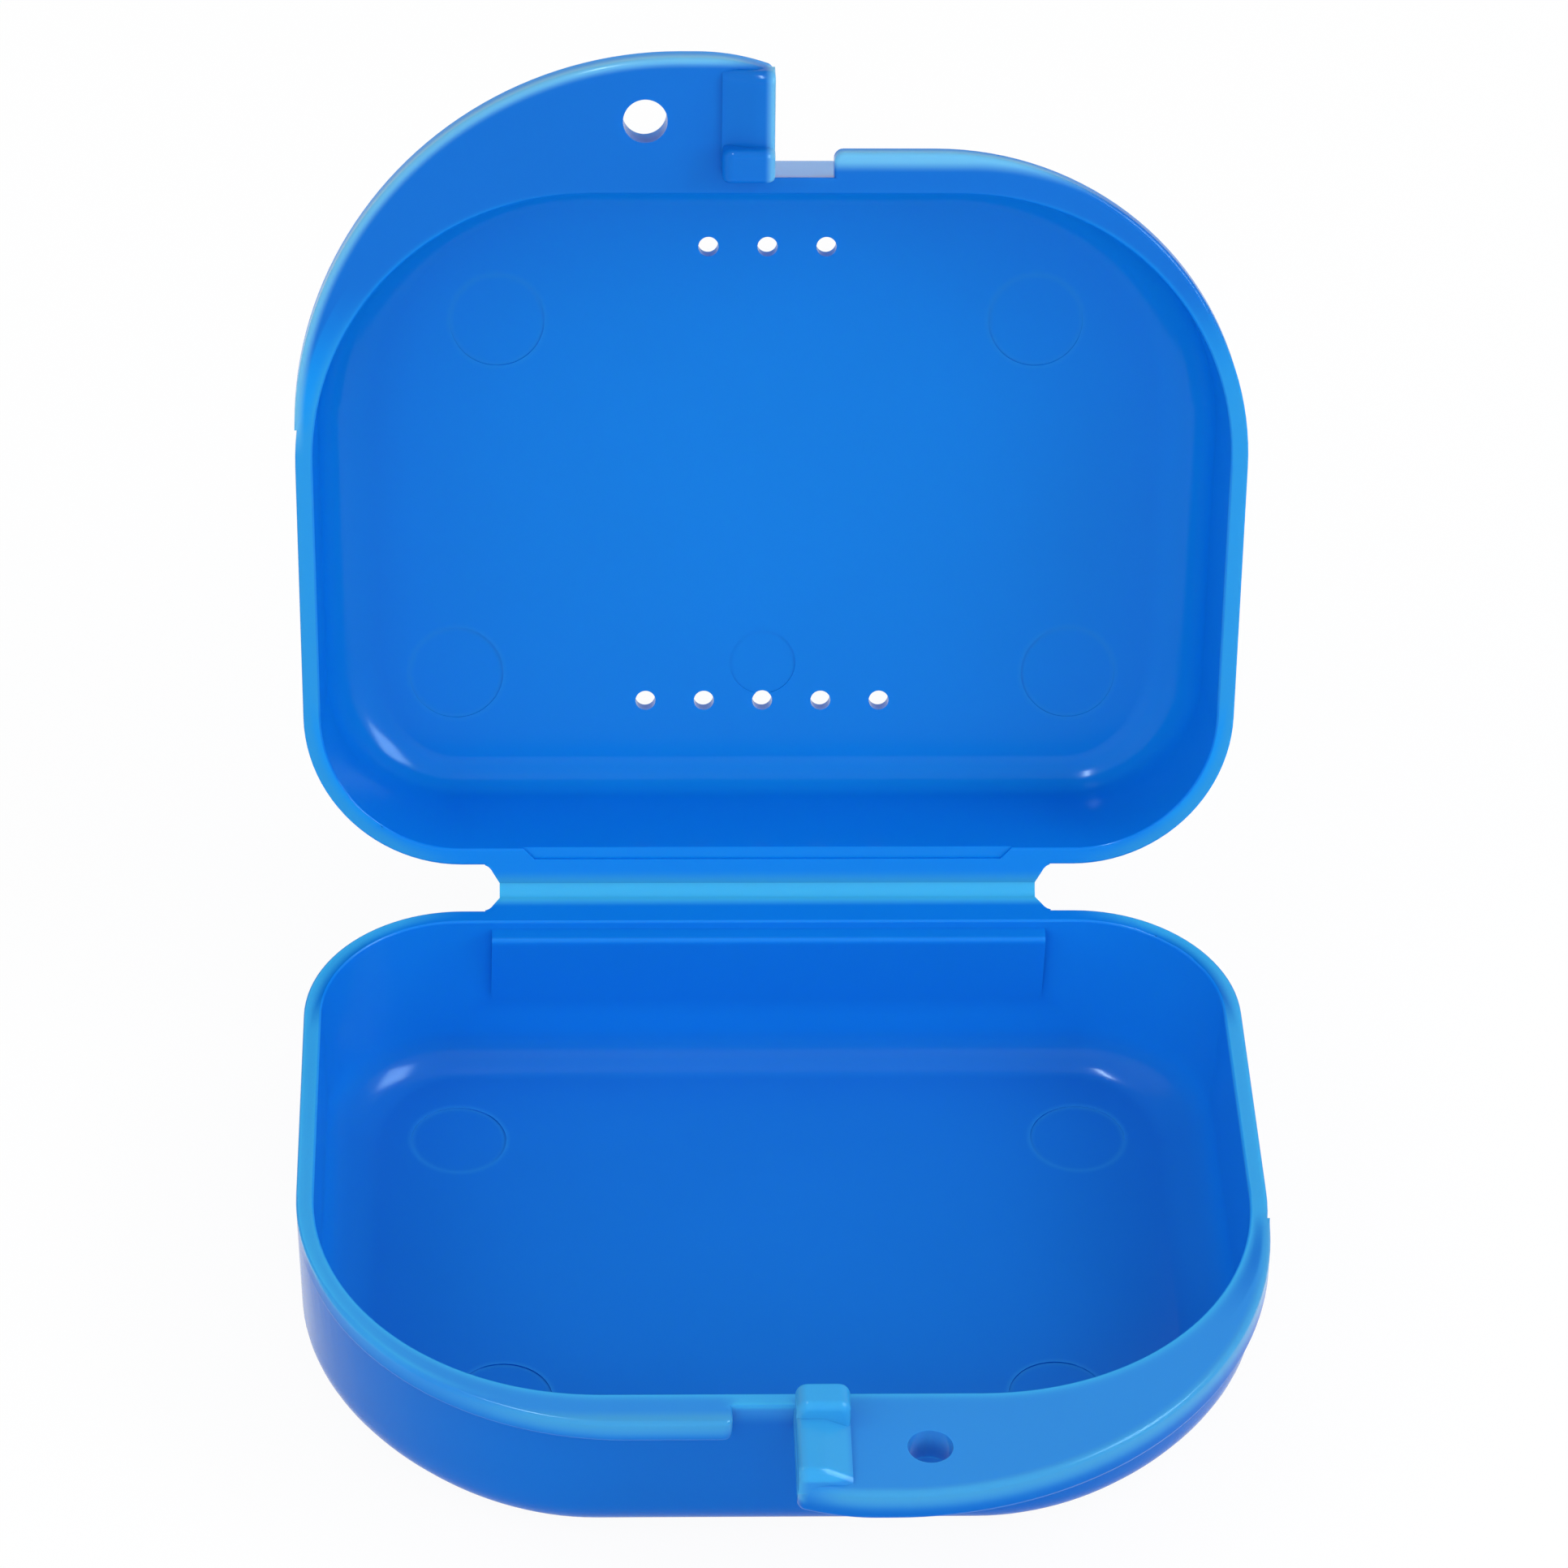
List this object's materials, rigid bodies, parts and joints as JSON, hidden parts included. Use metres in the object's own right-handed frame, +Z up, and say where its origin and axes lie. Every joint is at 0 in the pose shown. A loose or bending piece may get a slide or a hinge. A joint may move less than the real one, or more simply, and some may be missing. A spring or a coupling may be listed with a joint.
{
  "type": "retainer case",
  "caption": "Pocket clamshell case for a dental retainer: two drafted shells on a living hinge, with offset thumb flanges, latch hooks and a vented lid, shown open.",
  "frame": {"origin": "on the flat bottom of the base shell, midway across it and midway between the rear and front walls' outer faces at the rim", "axes": "+X to the right across the front, +Y to the rear towards the hinge, +Z up out of the base"},
  "size_m": [0.08, 0.1098, 0.0832],
  "materials": {
    "case_plastic": "glossy injection-moulded blue polypropylene",
    "film_plastic": "the same polypropylene, paler where it is thin enough to let light through"
  },
  "bodies": {
    "base": {"base_shell": "case_plastic", "base_thumb_flange": "case_plastic", "base_latch_hook": "case_plastic", "base_hinge_leaf": "case_plastic", "hinge_web": "film_plastic"},
    "lid": {"lid_shell": "case_plastic", "lid_thumb_flange": "case_plastic", "lid_latch_hook": "case_plastic", "lid_hinge_leaf": "case_plastic"}
  },
  "joints": [
    {"name": "lid_hinge", "type": "hinge", "parent": "base", "child": "lid", "pos_m": [0, 0.03238, 0.0165], "axis": [-1, 0, 0], "range_deg": [-112.84, 67.16], "deforming": ["hinge_web"]}
  ]
}
